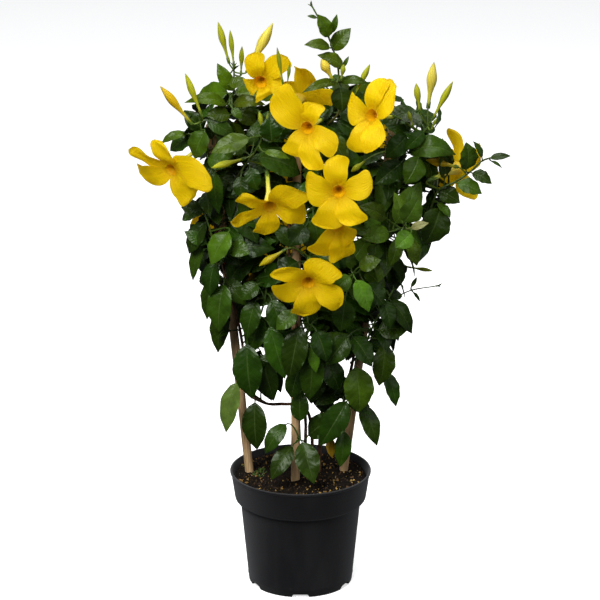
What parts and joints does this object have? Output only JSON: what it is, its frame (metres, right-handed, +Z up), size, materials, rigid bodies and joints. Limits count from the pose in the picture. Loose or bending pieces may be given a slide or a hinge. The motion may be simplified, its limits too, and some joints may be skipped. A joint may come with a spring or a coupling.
{
  "type": "potted climbing mandevilla",
  "caption": "Climbing mandevilla with glossy paired leaves and yellow funnel flowers, twined round wooden canes in a black plastic nursery pot.",
  "frame": {"origin": "middle of the pot's flat underside", "axes": "+Z up along the plant, +X to the right of the pictured view, +Y away from it"},
  "size_m": [0.438, 0.269, 0.7071],
  "materials": {
    "pot_plastic": "black moulded plastic with a soft sheen",
    "peat": "dark crumbly peat with bark bits",
    "cane_wood": "light brown round wood, unvarnished",
    "bark": "thin reddish brown bark",
    "foliage": "glossy leathery green",
    "petal": "soft silky yellow"
  },
  "bodies": {
    "root": {"pot": "pot_plastic", "soil": "peat", "cane_left": "cane_wood", "cane_middle": "cane_wood", "cane_right": "cane_wood", "vine_left": "bark", "vine_middle": "bark", "vine_right": "bark", "leafy_stem_top": "foliage", "leafy_stem_left_top": "foliage", "leafy_stem_left_flower": "foliage", "leafy_stem_left_middle": "foliage", "leafy_stem_left_side": "foliage", "leafy_stem_low_cross": "foliage", "leafy_stem_low_left": "foliage", "leafy_stem_soil_level": "foliage", "leafy_stem_low_middle": "foliage", "leafy_stem_low_right": "foliage", "leafy_stem_right_low": "foliage", "leafy_stem_right_thin": "foliage", "leafy_stem_bright": "foliage", "leafy_stem_rosette": "foliage", "leafy_stem_right_far": "foliage", "leafy_stem_right_top": "foliage", "leafy_stem_centre_top": "foliage", "leafy_stem_centre": "foliage", "leafy_stem_centre_low": "foliage", "leafy_stem_right_side": "foliage", "leafy_stem_left_back": "foliage", "leafy_stem_left_back_top": "foliage", "leafy_stem_middle_back_low": "foliage", "leafy_stem_middle_back": "foliage", "leafy_stem_middle_back_top": "foliage", "leafy_stem_right_back_low": "foliage", "leafy_stem_right_back": "foliage", "bloom_left": "petal", "bloom_front_left": "petal", "bloom_inner": "petal", "bloom_inner_left": "petal", "bloom_right": "petal", "bloom_upper_right": "petal", "bloom_centre": "petal", "bloom_top_left": "petal", "bloom_top": "petal", "bloom_front_right": "petal", "bloom_below_front": "petal", "bloom_low": "petal", "bloom_back_left": "petal", "bloom_back_low": "petal", "bloom_back": "petal", "bloom_back_right": "petal"}
  },
  "joints": []
}
